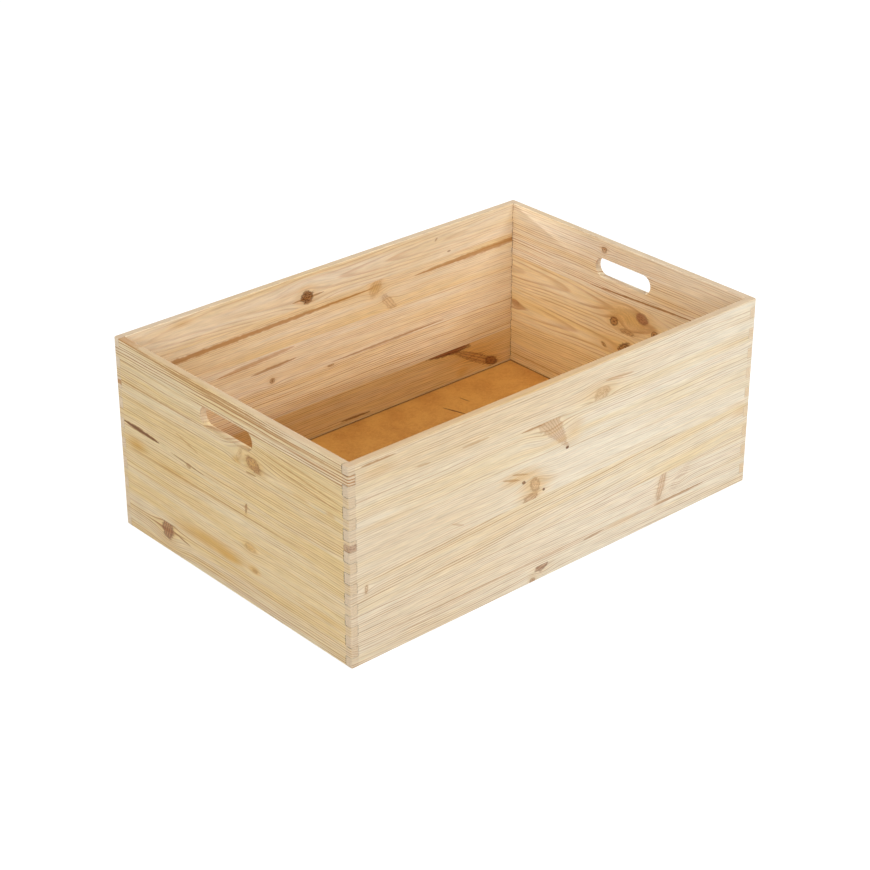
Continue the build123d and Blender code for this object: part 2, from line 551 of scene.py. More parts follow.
def grain_group():
    """Growth rings round the pith, fine fibres and broad changes of tone, all from a place in millimetres."""
    tree, given, made = new_group(
        "Pine grain",
        {
            "Place": "Vector",
            "Seed": "Vector",
            "Pith up": "Float",
            "Pith depth": "Float",
            "Lean": "Float",
            "Tilt": "Float",
            "Spacing": "Float",
            "Drift": "Float",
        },
        {"Late": "Float", "Fibre": "Float", "Tone": "Float", "Blush": "Float"},
    )
    put = partial(add_node, tree)
    along, up, through = put(SPLIT, {0: given["Place"]}).node.outputs

    # The log wanders by some millimetres over a quarter of a metre, with small ripples of 60 mm
    wide = {0: given["Place"], 1: per_mm(LOG_WANDER), 2: given["Seed"]}
    far = put(VECTOR, wide, operation="MULTIPLY_ADD")
    wander = put(NOISE, {"Vector": far, "Scale": 1.0, "Detail": 2.0})
    small = {0: given["Place"], 1: per_mm(RIPPLES), 2: given["Seed"]}
    near = put(VECTOR, small, operation="MULTIPLY_ADD")
    ripple = put(NOISE, {"Vector": near, "Scale": 1.0, "Detail": 1.0})
    wander = put(MATH, {0: wander, 1: 0.5}, operation="SUBTRACT")
    ripple = put(MATH, {0: ripple, 1: 0.5}, operation="SUBTRACT")
    ripple = put(MATH, {0: ripple, 1: RIPPLE_HEIGHT}, operation="MULTIPLY")
    shift = put(MATH, {0: wander, 1: given["Drift"], 2: ripple}, operation="MULTIPLY_ADD")
    flow = put(MATH, {0: up, 1: shift}, operation="ADD")
    climb = put(MATH, {0: along, 1: given["Tilt"]}, operation="MULTIPLY")
    flow = put(MATH, {0: flow, 1: climb}, operation="SUBTRACT")

    level = put(MATH, {0: flow, 1: given["Pith up"]}, operation="SUBTRACT")
    lean = put(MATH, {0: along, 1: given["Lean"], 2: given["Pith depth"]}, operation="MULTIPLY_ADD")
    depth = put(MATH, {0: through, 1: lean}, operation="SUBTRACT")
    radius = put(VECTOR, {0: put(JOIN, {0: level, 1: depth})}, operation="LENGTH").node.outputs["Value"]

    # Spells of fast and slow growth make the rings uneven. Late wood darkens through the second half of a
    # ring and ends sharply.
    years = put(MATH, {0: radius, 1: 1 / SLOW_YEARS}, operation="MULTIPLY")
    years = put(NOISE, {"W": years, "Scale": 1.0, "Detail": 1.0}, noise_dimensions="1D")
    rings = put(MATH, {0: radius, 1: given["Spacing"]}, operation="DIVIDE")
    rings = put(MATH, {0: years, 1: UNEVEN_YEARS, 2: rings}, operation="MULTIPLY_ADD")
    year = put(MATH, {0: rings}, operation="FRACT")
    begins, darkest, ends = LATE_WOOD
    rise = put(RANGE, {0: year, 1: begins, 2: darkest, 3: 0.0, 4: 1.0}, interpolation_type="SMOOTHSTEP")
    fall = put(RANGE, {0: year, 1: darkest, 2: ends, 3: 1.0, 4: 0.0}, interpolation_type="SMOOTHSTEP")
    line = put(MATH, {0: rise, 1: fall}, operation="MULTIPLY")

    # Some years are bold and some faint, and each fades and comes back along the board
    run = put(MATH, {0: along, 1: 1 / LINE_RUN}, operation="MULTIPLY")
    spell = put(MATH, {0: radius, 1: 1 / LINE_SPELL}, operation="MULTIPLY")
    run = put(JOIN, {0: run, 1: spell})
    run = put(VECTOR, {0: run, 1: given["Seed"]}, operation="ADD")
    weight = put(NOISE, {"Vector": run, "Scale": 1.0, "Detail": 1.0})
    weight = put(RANGE, {0: weight, 1: 0.32, 2: 0.68, 3: LINE_WEIGHTS[0], 4: LINE_WEIGHTS[1]})
    tree.links.new(put(MATH, {0: line, 1: weight}, operation="MULTIPLY"), made["Late"])

    # Fibres, broad tones and a pink haze follow the rings' flow
    lie = put(JOIN, {0: along, 1: flow, 2: through})
    thread = put(VECTOR, {0: lie, 1: per_mm(FIBRES), 2: given["Seed"]}, operation="MULTIPLY_ADD")
    fibre = put(NOISE, {"Vector": thread, "Scale": 1.0, "Detail": 2.0, "Roughness": 0.6})
    tree.links.new(fibre, made["Fibre"])
    cloud = put(VECTOR, {0: lie, 1: per_mm(TONES), 2: given["Seed"]}, operation="MULTIPLY_ADD")
    tree.links.new(put(NOISE, {"Vector": cloud, "Scale": 1.0, "Detail": 2.0}), made["Tone"])
    haze = put(VECTOR, {0: lie, 1: per_mm(PINK_HAZE), 2: given["Seed"]}, operation="MULTIPLY_ADD")
    tree.links.new(put(NOISE, {"Vector": haze, "Scale": 1.0, "Detail": 2.0}), made["Blush"])
    return tree


def knot_group():
    """A branch that the saw cut: bows the grain round it and draws its wood, dark rings and yellow halo."""
    tree, given, made = new_group(
        "Pine knot",
        {
            "Place": "Vector",
            "Grain": "Vector",
            "Ragged": "Float",
            "Centre": "Vector",
            "Half length": "Float",
            "Half width": "Float",
            "Slant": "Float",
            "Taper": "Float",
            "Bend": "Float",
            "Lines": "Float",
        },
        {"Grain": "Vector", "Core": "Float", "Lines": "Float", "Halo": "Float"},
    )
    put = partial(add_node, tree)
    offset = put(VECTOR, {0: given["Place"], 1: given["Centre"]}, operation="SUBTRACT")
    back = put(MATH, {0: given["Slant"], 1: -1.0}, operation="MULTIPLY")
    turned = put("ShaderNodeVectorRotate", {"Vector": offset, "Angle": back}, rotation_type="Z_AXIS")
    length, width, _ = put(SPLIT, {0: turned}).node.outputs
    length = put(MATH, {0: length, 1: given["Half length"]}, operation="DIVIDE")
    slim = put(MATH, {0: length, 1: given["Taper"]}, operation="MULTIPLY")
    slim = put(MATH, {0: 1.0, 1: slim}, operation="SUBTRACT")
    slim = put(MATH, {0: slim, 1: 0.15}, operation="MAXIMUM")
    half = put(MATH, {0: given["Half width"], 1: slim}, operation="MULTIPLY")
    width = put(MATH, {0: width, 1: half}, operation="DIVIDE")
    reach = put(VECTOR, {0: put(JOIN, {0: length, 1: width})}, operation="LENGTH").node.outputs["Value"]
    edge = put(MATH, {0: given["Ragged"], 1: 1.3, 2: reach}, operation="MULTIPLY_ADD")
    core = put(RANGE, {0: edge, 1: 0.6, 2: 1.15, 3: 1.0, 4: 0.0}, interpolation_type="SMOOTHSTEP")
    tree.links.new(core, made["Core"])
    halo = put(RANGE, {0: edge, 1: 0.7, 2: 2.6, 3: 1.0, 4: 0.0}, interpolation_type="SMOOTHSTEP")
    tree.links.new(halo, made["Halo"])

    # Rings where the branch is cut across, lines along it where it is cut lengthwise
    across = put(MATH, {0: 1.0, 1: given["Lines"]}, operation="SUBTRACT")
    across = put(MATH, {0: edge, 1: across}, operation="MULTIPLY")
    figure = put(MATH, {0: width, 1: given["Lines"], 2: across}, operation="MULTIPLY_ADD")
    count = put(MATH, {0: given["Half width"], 1: 2 * math.pi / KNOT_LINES}, operation="MULTIPLY")
    figure = put(MATH, {0: figure, 1: count}, operation="MULTIPLY")
    figure = put(MATH, {0: given["Ragged"], 1: 5.0, 2: figure}, operation="MULTIPLY_ADD")
    figure = put(MATH, {0: figure}, operation="SINE")
    figure = put(RANGE, {0: figure, 1: 0.0, 2: 0.9, 3: 0.0, 4: 0.9})

    # Bark leaves a broken dark outline
    inner = put(RANGE, {0: edge, 1: 0.6, 2: 0.9, 3: 0.0, 4: 1.0}, interpolation_type="SMOOTHSTEP")
    outer = put(RANGE, {0: edge, 1: 0.9, 2: 1.15, 3: 1.0, 4: 0.0}, interpolation_type="SMOOTHSTEP")
    broken = put(RANGE, {0: given["Ragged"], 1: -0.15, 2: 0.1, 3: 0.3, 4: 1.0})
    bark = put(MATH, {0: inner, 1: outer}, operation="MULTIPLY")
    bark = put(MATH, {0: bark, 1: broken}, operation="MULTIPLY")
    figure = put(MATH, {0: figure, 1: core}, operation="MULTIPLY")
    tree.links.new(put(MATH, {0: figure, 1: bark}, operation="MAXIMUM"), made["Lines"])

    # The grain parts above and below the branch and closes again beyond it
    away = put(VECTOR, {0: given["Grain"], 1: given["Centre"]}, operation="SUBTRACT")
    along, up, through = put(SPLIT, {0: away}).node.outputs
    span = put(MATH, {0: given["Bend"], 1: 2.2, 2: given["Half width"]}, operation="MULTIPLY_ADD")
    rise = put(MATH, {0: given["Bend"], 1: 0.9, 2: given["Half width"]}, operation="MULTIPLY_ADD")
    span = put(MATH, {0: along, 1: span}, operation="DIVIDE")
    rise = put(MATH, {0: up, 1: rise}, operation="DIVIDE")
    rise = put(MATH, {0: rise, 1: rise}, operation="MULTIPLY")
    span = put(MATH, {0: span, 1: span, 2: rise}, operation="MULTIPLY_ADD")
    pull = put(MATH, {0: span, 1: -1.0}, operation="MULTIPLY")
    pull = put(MATH, {0: pull}, operation="EXPONENT")
    pull = put(MATH, {0: pull, 1: -0.85, 2: 1.0}, operation="MULTIPLY_ADD")
    up = put(MATH, {0: up, 1: pull}, operation="MULTIPLY")
    bowed = put(JOIN, {0: along, 1: up, 2: through})
    tree.links.new(put(VECTOR, {0: bowed, 1: given["Centre"]}, operation="ADD"), made["Grain"])
    return tree


def streak_group():
    """A streak that runs with the grain and thins out to both ends."""
    tree, given, made = new_group(
        "Pine streak",
        {"Place": "Vector", "Ragged": "Float", "Start": "Vector", "End": "Vector", "Half width": "Float"},
        {"Mask": "Float"},
    )
    put = partial(add_node, tree)
    along, up, _ = put(SPLIT, {0: given["Place"]}).node.outputs
    start, start_up, _ = put(SPLIT, {0: given["Start"]}).node.outputs
    end, end_up, _ = put(SPLIT, {0: given["End"]}).node.outputs
    share = put(RANGE, {0: along, 1: start, 2: end, 3: 0.0, 4: 1.0})
    middle = put(RANGE, {0: along, 1: start, 2: end, 3: start_up, 4: end_up})
    left = put(MATH, {0: 1.0, 1: share}, operation="SUBTRACT")
    swell = put(MATH, {0: share, 1: left}, operation="MULTIPLY")
    swell = put(MATH, {0: swell, 1: 4.0}, operation="MULTIPLY")
    swell = put(MATH, {0: swell, 1: 0.6}, operation="POWER")
    ragged = put(MATH, {0: given["Ragged"], 1: 1.5, 2: 1.0}, operation="MULTIPLY_ADD")
    half = put(MATH, {0: given["Half width"], 1: swell}, operation="MULTIPLY")
    half = put(MATH, {0: half, 1: ragged}, operation="MULTIPLY")
    half = put(MATH, {0: half, 1: 0.02}, operation="MAXIMUM")
    off = put(MATH, {0: up, 1: middle}, operation="SUBTRACT")
    off = put(MATH, {0: off}, operation="ABSOLUTE")
    off = put(MATH, {0: off, 1: half}, operation="DIVIDE")
    mask = put(RANGE, {0: off, 1: 0.35, 2: 1.15, 3: 1.0, 4: 0.0}, interpolation_type="SMOOTHSTEP")
    tree.links.new(mask, made["Mask"])
    return tree


def patch_group():
    """A soft-edged oval, longer along the grain, whose edge breaks up with the tone of the wood."""
    tree, given, made = new_group(
        "Pine patch",
        {"Place": "Vector", "Ragged": "Float", "Centre": "Vector", "Half size": "Vector"},
        {"Mask": "Float"},
    )
    put = partial(add_node, tree)
    offset = put(VECTOR, {0: given["Place"], 1: given["Centre"]}, operation="SUBTRACT")
    offset = put(VECTOR, {0: offset, 1: given["Half size"]}, operation="DIVIDE")
    reach = put(VECTOR, {0: offset}, operation="LENGTH").node.outputs["Value"]
    reach = put(MATH, {0: given["Ragged"], 1: 1.6, 2: reach}, operation="MULTIPLY_ADD")
    mask = put(RANGE, {0: reach, 1: 0.1, 2: 1.2, 3: 1.0, 4: 0.0}, interpolation_type="SMOOTHSTEP")
    tree.links.new(mask, made["Mask"])
    return tree


def joint_group():
    """Painted shade lines where the fingers of two walls meet, on faces and finger ends, and a mask of the
    fingers.
    """
    tree, given, made = new_group(
        "Finger joint",
        {
            "Place": "Vector",
            "Middle": "Float",
            "Root": "Float",
            "Phase": "Float",
            "Inside": "Float",
            "End": "Float",
        },
        {"Mask": "Float", "Finger": "Float"},
    )
    put = partial(add_node, tree)
    along, up, through = put(SPLIT, {0: given["Place"]}).node.outputs
    off = put(MATH, {0: along, 1: given["Middle"]}, operation="SUBTRACT")
    off = put(MATH, {0: off}, operation="ABSOLUTE")
    past = put(MATH, {0: off, 1: given["Root"]}, operation="SUBTRACT")

    # Upright lines at the roots, between this wall's fingers only
    root = put(MATH, {0: past}, operation="ABSOLUTE")
    root = put(RANGE, {0: root, 1: ROOT_LINE[0], 2: ROOT_LINE[1], 3: 1.0, 4: 0.0})
    turn = put(MATH, {0: up, 1: 1 / (2 * FINGER), 2: given["Phase"]}, operation="MULTIPLY_ADD")
    turn = put(MATH, {0: turn}, operation="FRACT")
    other = put(MATH, {0: turn, 1: 0.5}, operation="LESS_THAN")
    root = put(MATH, {0: root, 1: other}, operation="MULTIPLY")

    # Level lines between the fingers, past the roots
    level = put(MATH, {0: up, 1: 1 / FINGER, 2: 0.5}, operation="MULTIPLY_ADD")
    level = put(MATH, {0: level}, operation="FRACT")
    level = put(MATH, {0: level, 1: 0.5}, operation="SUBTRACT")
    level = put(MATH, {0: level}, operation="ABSOLUTE")
    level = put(RANGE, {0: level, 1: LEVEL_LINE[0] / FINGER, 2: LEVEL_LINE[1] / FINGER, 3: 1.0, 4: 0.0})
    finger = put(MATH, {0: past, 1: 0.0}, operation="GREATER_THAN")
    tree.links.new(finger, made["Finger"])
    level = put(MATH, {0: level, 1: finger}, operation="MULTIPLY")

    # On the finger ends, an upright line at the inner face
    face = BOARD / 2
    inner = put(MATH, {0: through, 1: given["Inside"]}, operation="MULTIPLY")
    inner = put(RANGE, {0: inner, 1: face - INNER_LINE[1], 2: face - INNER_LINE[0], 3: 0.0, 4: 1.0})
    inner = put(MATH, {0: inner, 1: given["End"]}, operation="MULTIPLY")
    lines = put(MATH, {0: root, 1: level}, operation="MAXIMUM")
    lines = put(MATH, {0: lines, 1: inner}, operation="MAXIMUM")
    tree.links.new(lines, made["Mask"])
    return tree


def wood_group(builder, name):
    """One of the wood's node groups, built the first time that a stave needs it."""
    return bpy.data.node_groups.get(name) or builder()


def rgba(colour):
    """A panel colour with its alpha, as a socket takes it."""
    return (*colour, 1.0)


def new_material(name):
    """An empty node material, with the function that fills its tree."""
    material = bpy.data.materials.new(name)
    material.use_nodes = True
    material.node_tree.nodes.clear()
    return material, partial(add_node, material.node_tree)


def pine_material(name, wall, seed, figure, features):
    """Planed and sanded pine, uncoated: pale and satin, with growth lines, knots, resin and end grain."""
    look = bpy.context.scene.pine_look
    spot = PLACES[wall]
    material, put = new_material(name)
    where = put("ShaderNodeTexCoord").node.outputs
    place = put(
        "ShaderNodeMapping",
        {
            "Vector": where["Object"],
            "Location": spot.shift,
            "Rotation": spot.turn,
            "Scale": (MM, MM, MM),
        },
    )
    offset = tuple(seed * step for step in SEED_STEP)
    along, up, _ = put(SPLIT, {0: place}).node.outputs
    ragged = put(VECTOR, {0: place, 1: per_mm(RAGGED_EDGES), 2: offset}, operation="MULTIPLY_ADD")
    ragged = put(NOISE, {"Vector": ragged, "Scale": 1.0, "Detail": 2.0})
    ragged = put(MATH, {0: ragged, 1: 0.5}, operation="SUBTRACT")

    # Branches first, because the grain runs round them
    grain_place = place
    knots = []
    for knot in (f for f in features if isinstance(f, Knot)):
        branch = put(
            GROUP,
            {
                "Place": place,
                "Grain": grain_place,
                "Ragged": ragged,
                "Centre": (knot.along, knot.up, 0),
                "Half length": knot.half_length,
                "Half width": knot.half_width,
                "Slant": math.radians(knot.slant),
                "Taper": knot.taper,
                "Bend": knot.bend,
                "Lines": knot.lines,
            },
            node_tree=wood_group(knot_group, "Pine knot"),
        ).node.outputs
        grain_place = branch["Grain"]
        knots.append((knot, branch))

    late, fibre, tone, blush = put(
        GROUP,
        {
            "Place": grain_place,
            "Seed": offset,
            "Pith up": figure.pith_up,
            "Pith depth": figure.pith_depth,
            "Lean": figure.lean,
            "Tilt": figure.tilt,
            "Spacing": figure.spacing,
            "Drift": figure.drift,
        },
        node_tree=wood_group(grain_group, "Pine grain"),
    ).node.outputs

    # Early wood, from pale to warm, with a touch of pink here and there
    least, most = figure.warmth - WARMTH_SPREAD, figure.warmth + WARMTH_SPREAD
    warmth = put(RANGE, {0: tone, 1: NOISE_LOW, 2: NOISE_HIGH, 3: least, 4: most})
    warmth = put(MATH, {0: warmth, 1: 0.0}, operation="ADD", use_clamp=True)
    colour = put(MIX, {0: warmth, 6: rgba(look.pale), 7: rgba(look.warm)}, data_type="RGBA")
    pink = put(RANGE, {0: blush, 1: 0.45, 2: NOISE_HIGH, 3: 0.0, 4: PINK_SHARE})
    colour = put(MIX, {0: pink, 6: colour, 7: rgba(look.blush)}, data_type="RGBA")

    # Golden wood in its own areas and round the larger branches
    uneven = put(MATH, {0: tone, 1: 0.5}, operation="SUBTRACT")
    for patch in (f for f in features if isinstance(f, Patch)):
        mask = put(
            GROUP,
            {
                "Place": place,
                "Ragged": uneven,
                "Centre": (patch.along, patch.up, 0),
                "Half size": (patch.half_length, patch.half_width, MM),
            },
            node_tree=wood_group(patch_group, "Pine patch"),
        )
        mask = put(MATH, {0: mask, 1: patch.strength}, operation="MULTIPLY")
        colour = put(MIX, {0: mask, 6: colour, 7: rgba(look.heart)}, data_type="RGBA")
    for knot, branch in knots:
        if knot.half_length > PIN_KNOT:
            halo = put(MATH, {0: branch["Halo"], 1: HALO_SHARE * knot.strength}, operation="MULTIPLY")
            colour = put(MIX, {0: halo, 6: colour, 7: rgba(look.heart)}, data_type="RGBA")

    # Finger ends and the round ends of the hand slots are end grain: darker, with fainter growth lines
    facing = put(SPLIT, {0: where["Normal"]}).node.outputs
    across = put(MATH, {0: facing[0 if wall in LONG_WALLS else 1]}, operation="ABSOLUTE")
    ends = put(RANGE, {0: across, 1: 0.5, 2: 0.85, 3: 0.0, 4: 1.0}, interpolation_type="SMOOTHSTEP")
    tint = put(MATH, {0: ends, 1: END_GRAIN_SHARE}, operation="MULTIPLY")
    colour = put(MIX, {0: tint, 6: colour, 7: rgba(look.end_grain)}, data_type="RGBA")
    joints = put(
        GROUP,
        {
            "Place": place,
            "Middle": spot.middle,
            "Root": spot.half_span - BOARD,
            "Phase": 0.5 if wall in LONG_WALLS else 0.0,
            "Inside": spot.inside,
            "End": ends,
        },
        node_tree=wood_group(joint_group, "Finger joint"),
    ).node.outputs
    first, last = spot.middle - spot.half_span, spot.middle + spot.half_span
    tint = put(RANGE, {0: along, 1: first, 2: last, 3: spot.fingers[0], 4: spot.fingers[1]})
    tint = put(MATH, {0: joints["Finger"], 1: tint}, operation="MULTIPLY")
    colour = put(MIX, {0: tint, 6: colour, 7: rgba(look.end_grain)}, data_type="RGBA")

    # Painted shade darkens the up-facing rims, and the growth lines hardly show on them
    rim = put(RANGE, {0: facing[2], 1: 0.6, 2: 0.95, 3: 0.0, 4: 1.0}, interpolation_type="SMOOTHSTEP")
    high = put(MATH, {0: up, 1: RIM_UP - BOARD}, operation="GREATER_THAN")
    rim = put(MATH, {0: rim, 1: high}, operation="MULTIPLY")

    bold = put(MATH, {0: ends, 1: -END_LINES_LOST, 2: figure.bold}, operation="MULTIPLY_ADD")
    bold = put(MATH, {0: rim, 1: -RIM_LINES_LOST * figure.bold, 2: bold}, operation="MULTIPLY_ADD")
    lines = put(MATH, {0: late, 1: bold}, operation="MULTIPLY", use_clamp=True)
    colour = put(MIX, {0: lines, 6: colour, 7: rgba(look.late)}, data_type="RGBA")
    # Painted light and shade: the wall's shade makes one wall lighter and another darker, as the light falls
    # on it
    dim, bright = (spot.shade * share for share in FIBRE_SHADES)
    shade = put(RANGE, {0: fibre, 1: NOISE_LOW, 2: NOISE_HIGH, 3: dim, 4: bright})
    shade = put(JOIN, {0: shade, 1: shade, 2: shade})
    colour = put(VECTOR, {0: colour, 1: shade}, operation="MULTIPLY")
    rim = put(MATH, {0: rim, 1: spot.rim}, operation="MULTIPLY")
    colour = put(MIX, {0: rim, 6: colour, 7: rgba(look.rim_shade)}, data_type="RGBA")

    # Resin is laid over the grain, and branches over both
    for streak in (f for f in features if isinstance(f, Streak)):
        mask = put(
            GROUP,
            {
                "Place": place,
                "Ragged": ragged,
                "Start": (streak.start, streak.start_up, 0),
                "End": (streak.end, streak.end_up, 0),
                "Half width": streak.half_width,
            },
            node_tree=wood_group(streak_group, "Pine streak"),
        )
        dark = put(MATH, {0: mask, 1: streak.dark}, operation="MULTIPLY")
        resin = put(MIX, {0: dark, 6: rgba(look.amber), 7: rgba(look.resin)}, data_type="RGBA")
        mask = put(MATH, {0: mask, 1: streak.strength}, operation="MULTIPLY")
        colour = put(MIX, {0: mask, 6: colour, 7: resin}, data_type="RGBA")

    # A dark or red branch covers more of the grain, and a dark one has darker rings
    for knot, branch in knots:
        wood = put(MIX, {0: knot.red, 6: rgba(look.knot), 7: rgba(look.knot_red)}, data_type="RGBA")
        wood = put(MIX, {0: knot.dark * KNOT_SHADE, 6: wood, 7: rgba(look.knot_dark)}, data_type="RGBA")
        depth = RING_SHADE + RING_SHADE_DARK * knot.dark
        ink = put(MIX, {0: depth, 6: wood, 7: rgba(look.knot_dark)}, data_type="RGBA")
        fill = knot.fill + knot.strength * (COVER + COVER_DARK * knot.dark + COVER_RED * knot.red)
        core = put(MATH, {0: branch["Core"], 1: min(fill, 1.0)}, operation="MULTIPLY")
        colour = put(MIX, {0: core, 6: colour, 7: wood}, data_type="RGBA")
        rings = put(MATH, {0: branch["Lines"], 1: knot.strength}, operation="MULTIPLY")
        colour = put(MIX, {0: rings, 6: colour, 7: ink}, data_type="RGBA")

    # The painted shade of the joint gaps is broken up in places and faint on the finger ends
    clear = put(RANGE, {0: along, 1: first, 2: last, 3: spot.joints[0], 4: spot.joints[1]})
    faint = put(MATH, {0: ends, 1: -END_JOINTS_LOST, 2: 1.0}, operation="MULTIPLY_ADD")
    patchy = put(RANGE, {0: ragged, 1: -0.1, 2: 0.1, 3: 0.1, 4: 1.0})
    patchy = put(MATH, {0: patchy, 1: faint}, operation="MULTIPLY")
    patchy = put(MATH, {0: patchy, 1: clear}, operation="MULTIPLY")
    patchy = put(MATH, {0: joints["Mask"], 1: patchy}, operation="MULTIPLY")
    colour = put(MIX, {0: patchy, 6: colour, 7: rgba(look.joint)}, data_type="RGBA")

    dents = put(MATH, {0: late, 1: -0.5, 2: fibre}, operation="MULTIPLY_ADD")
    bump = put("ShaderNodeBump", {"Strength": 0.25, "Distance": PINE_BUMP, "Height": dents})
    rough, smooth = PINE_ROUGHNESS
    roughness = put(RANGE, {0: fibre, 1: NOISE_LOW, 2: NOISE_HIGH, 3: rough, 4: smooth})
    shader = put(
        "ShaderNodeBsdfPrincipled",
        {"Base Color": colour, "Roughness": roughness, "Specular IOR Level": 0.35, "Normal": bump},
    )
    put("ShaderNodeOutputMaterial", {"Surface": shader})
    return material


def dress(node_name, material):
    """Gives a piece of the box its finish."""
    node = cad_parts.get(node_name)
    if node is None:
        raise RuntimeError(f"the box has no piece named {node_name}")
    node.data.materials.clear()
    node.data.materials.append(material)


def dress_wall(wall):
    """Gives each stave of a wall its own pine."""
    for number, (figure, features) in enumerate(WALLS[wall], start=1):
        stave = f"{wall}_stave_{number}"
        seed = list(WALLS).index(wall) * len(WALLS[wall]) + number
        dress(stave, pine_material(f"planed_pine_{stave}", wall, seed, figure, features))


class PINEBOX_OT_front_wall(bpy.types.Operator):
    """Dress the six staves of the front wall"""

    bl_idname = "pinebox.front_wall"
    bl_label = "Front wall"

    def execute(self, context):
        dress_wall("front")
        return {"FINISHED"}


class PINEBOX_OT_left_wall(bpy.types.Operator):
    """Dress the six staves of the left end wall"""

    bl_idname = "pinebox.left_wall"
    bl_label = "Left end wall"

    def execute(self, context):
        dress_wall("left")
        return {"FINISHED"}


class PINEBOX_OT_back_wall(bpy.types.Operator):
    """Dress the six staves of the back wall"""

    bl_idname = "pinebox.back_wall"
    bl_label = "Back wall"

    def execute(self, context):
        dress_wall("back")
        return {"FINISHED"}


class PINEBOX_OT_right_wall(bpy.types.Operator):
    """Dress the six staves of the right end wall"""

    bl_idname = "pinebox.right_wall"
    bl_label = "Right end wall"

    def execute(self, context):
        dress_wall("right")
        return {"FINISHED"}


# The floor's face, in millimetres. A scratch runs between two points, measured from the middle of the floor.
# Its half width is taken along Y, so these steep ones reach about 1.5 mm to each side of their line.
FIBRE_BUNDLE = 4
PULP_CLOUD = 35
FIBRE_SHARE = 0.6
CLOUD_SHARE = 1.6
CLOUD_LEVEL = 0.75  # what is taken off, so that only thick clouds darken the face
SCRATCHES = (((135, 147, 0), (146, 115, 0)), ((169, 153, 0), (172, 139, 0)))
SCRATCH_HALF_WIDTH = 5.0
SCRATCH_SHARE = 0.9
CORNER_SHADE_LINE = (3.0, 0.8)  # how far from a wall the painted shade starts and is darkest
CORNER_SHADE_SHARE = 0.75
HARDBOARD_BUMP = 0.3 / MM


def hardboard_material():
    """Hardboard: wood fibre pressed to a dense brown sheet, smooth and satin, with fibres and scratches."""
    look = bpy.context.scene.board_look
    material, put = new_material("pressed_hardboard")
    where = put("ShaderNodeTexCoord").node.outputs
    # Bundles of fibres, and clouds where the pulp settled thicker
    fluff = put(
        NOISE,
        {
            "Vector": where["Object"],
            "Scale": MM / FIBRE_BUNDLE,
            "Detail": 4.0,
            "Roughness": 0.65,
            "Distortion": 0.6,
        },
    )
    cloud = put(NOISE, {"Vector": where["Object"], "Scale": MM / PULP_CLOUD, "Detail": 2.0})
    mottle = put(RANGE, {0: fluff, 1: 0.35, 2: 0.75, 3: 0.0, 4: FIBRE_SHARE})
    mottle = put(MATH, {0: cloud, 1: CLOUD_SHARE, 2: mottle}, operation="MULTIPLY_ADD")
    mottle = put(MATH, {0: mottle, 1: CLOUD_LEVEL}, operation="SUBTRACT", use_clamp=True)
    colour = put(MIX, {0: mottle, 6: rgba(look.face), 7: rgba(look.fibre)}, data_type="RGBA")

    place = put(VECTOR, {0: where["Object"], "Scale": MM}, operation="SCALE")
    patchy = put(MATH, {0: fluff, 1: 0.5}, operation="SUBTRACT")
    for start, end in SCRATCHES:
        mask = put(
            GROUP,
            {
                "Place": place,
                "Ragged": patchy,
                "Start": start,
                "End": end,
                "Half width": SCRATCH_HALF_WIDTH,
            },
            node_tree=wood_group(streak_group, "Pine streak"),
        )
        mask = put(MATH, {0: mask, 1: SCRATCH_SHARE}, operation="MULTIPLY")
        colour = put(MIX, {0: mask, 6: colour, 7: rgba(look.scratch_and_shade)}, data_type="RGBA")

    # Painted shade along the foot of the walls, where the floor meets them in the corner
    along, across, _ = put(SPLIT, {0: place}).node.outputs
    far_x = put(MATH, {0: along}, operation="ABSOLUTE")
    far_x = put(MATH, {0: far_x, 1: HALF_LENGTH - BOARD}, operation="SUBTRACT")
    far_y = put(MATH, {0: across}, operation="ABSOLUTE")
    far_y = put(MATH, {0: far_y, 1: HALF_WIDTH - BOARD}, operation="SUBTRACT")
    corner = put(MATH, {0: far_x, 1: far_y}, operation="MAXIMUM")
    corner = put(RANGE, {0: corner, 1: -CORNER_SHADE_LINE[0], 2: -CORNER_SHADE_LINE[1], 3: 0.0, 4: CORNER_SHADE_SHARE})
    colour = put(MIX, {0: corner, 6: colour, 7: rgba(look.scratch_and_shade)}, data_type="RGBA")

    bump = put("ShaderNodeBump", {"Strength": 0.15, "Distance": HARDBOARD_BUMP, "Height": fluff})
    shader = put(
        "ShaderNodeBsdfPrincipled",
        {"Base Color": colour, "Roughness": 0.42, "Specular IOR Level": 0.4, "Normal": bump},
    )
    put("ShaderNodeOutputMaterial", {"Surface": shader})
    return material


class PINEBOX_OT_floor_panel(bpy.types.Operator):
    """Dress the hardboard floor"""

    bl_idname = "pinebox.floor_panel"
    bl_label = "Hardboard floor"

    def execute(self, context):
        dress("floor_panel", hardboard_material())
        return {"FINISHED"}


# Grey levels of the ground: as the paper that throws light back at the box, and as the camera sees it, where
# a glow and a darker paper add up to white and keep the shadow. Sizes are in metres.
PAPER_GREY = 0.8
SHADOW_GREY = 0.3
GROUND_GLOW = 0.92
GROUND_SIZE = 12
GROUND_DROP = 0.2 / MM  # keeps the ground just clear of the feet of the walls
WHITE = (1, 1, 1, 1)


def seen_ray(put):
    """1 for a ray that shows the ground or the sky to the camera, straight or in a reflection."""
    ray = put("ShaderNodeLightPath").node.outputs
    seen = put(MATH, {0: ray["Is Camera Ray"], 1: ray["Is Glossy Ray"]}, operation="MAXIMUM")
    return put(MATH, {0: seen, 1: ray["Is Transmission Ray"]}, operation="MAXIMUM")


